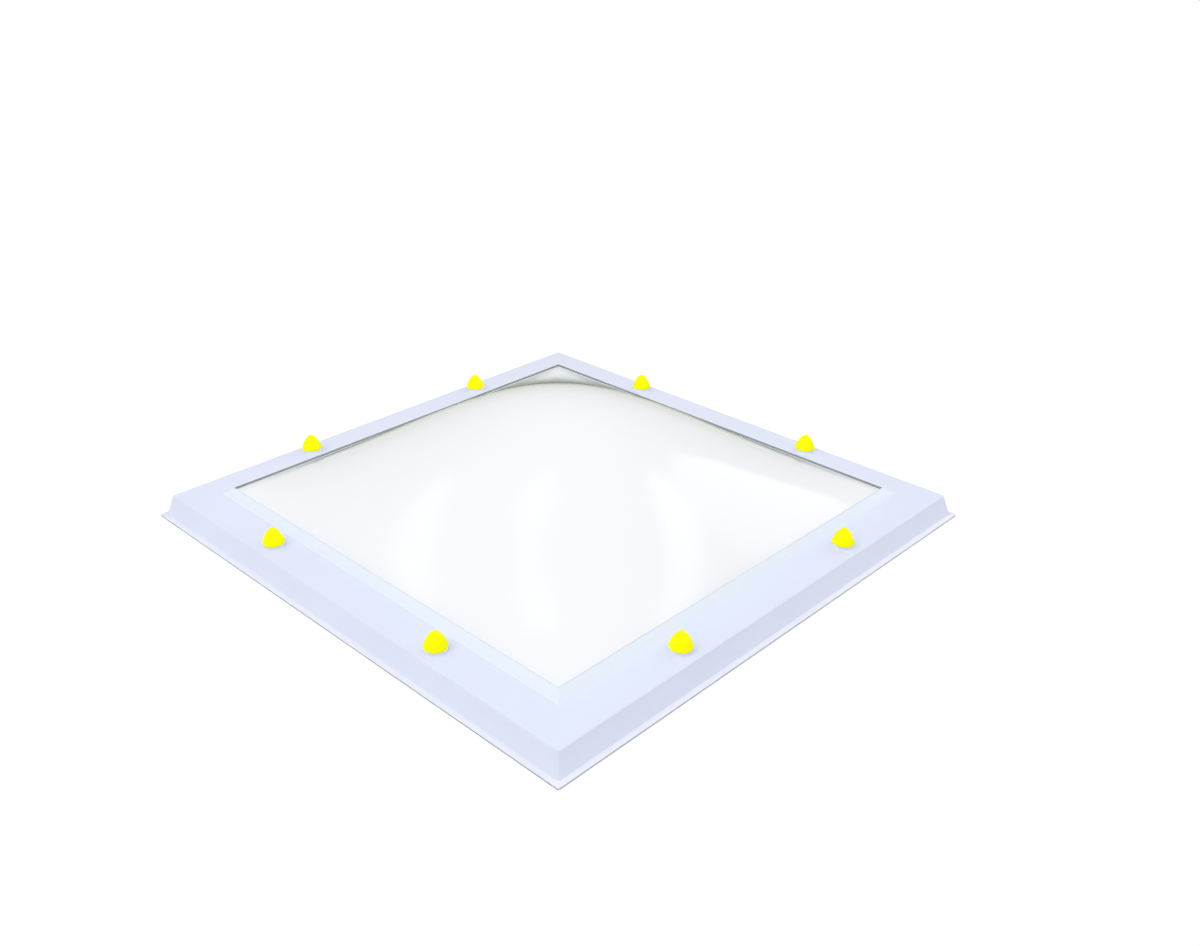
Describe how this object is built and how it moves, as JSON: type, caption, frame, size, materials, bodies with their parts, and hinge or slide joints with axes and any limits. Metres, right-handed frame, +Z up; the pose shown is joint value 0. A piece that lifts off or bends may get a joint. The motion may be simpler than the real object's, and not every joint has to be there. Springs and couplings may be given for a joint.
{
  "type": "dome skylight",
  "caption": "Square fixed roof skylight: an opal domed sheet clipped into a mitred white plastic kerb frame with capped screw fixings.",
  "frame": {"origin": "centre of the frame at the foot of its outer lip", "axes": "+Z up out of the roof, +X towards the right side, -Y towards the front side"},
  "size_m": [0.738, 0.738, 0.1589],
  "materials": {
    "frame_plastic": "smooth white window profile with a faint blue cast",
    "bead_plastic": "smooth white snap-in bead",
    "dome_opal": "glossy opal sheet",
    "gasket_rubber": "matt dark grey-green lip",
    "seal_foam": "matt closed-cell foam",
    "cap_yellow": "bright yellow moulded cap",
    "screw_steel": "zinc plated",
    "washer_plastic": "white moulded washer"
  },
  "bodies": {
    "root": {"bead_back": "bead_plastic", "bead_front": "bead_plastic", "bead_gasket_back": "gasket_rubber", "bead_gasket_front": "gasket_rubber", "bead_gasket_left": "gasket_rubber", "bead_gasket_right": "gasket_rubber", "bead_left": "bead_plastic", "bead_right": "bead_plastic", "caps": "cap_yellow", "dome_seat_tape": "seal_foam", "dome_skin": "dome_opal", "frame_back": "frame_plastic", "frame_front": "frame_plastic", "frame_left": "frame_plastic", "frame_right": "frame_plastic", "kerb_seal_back": "seal_foam", "kerb_seal_front": "seal_foam", "kerb_seal_left": "seal_foam", "kerb_seal_right": "seal_foam", "screws": "screw_steel", "washers": "washer_plastic"}
  },
  "joints": []
}
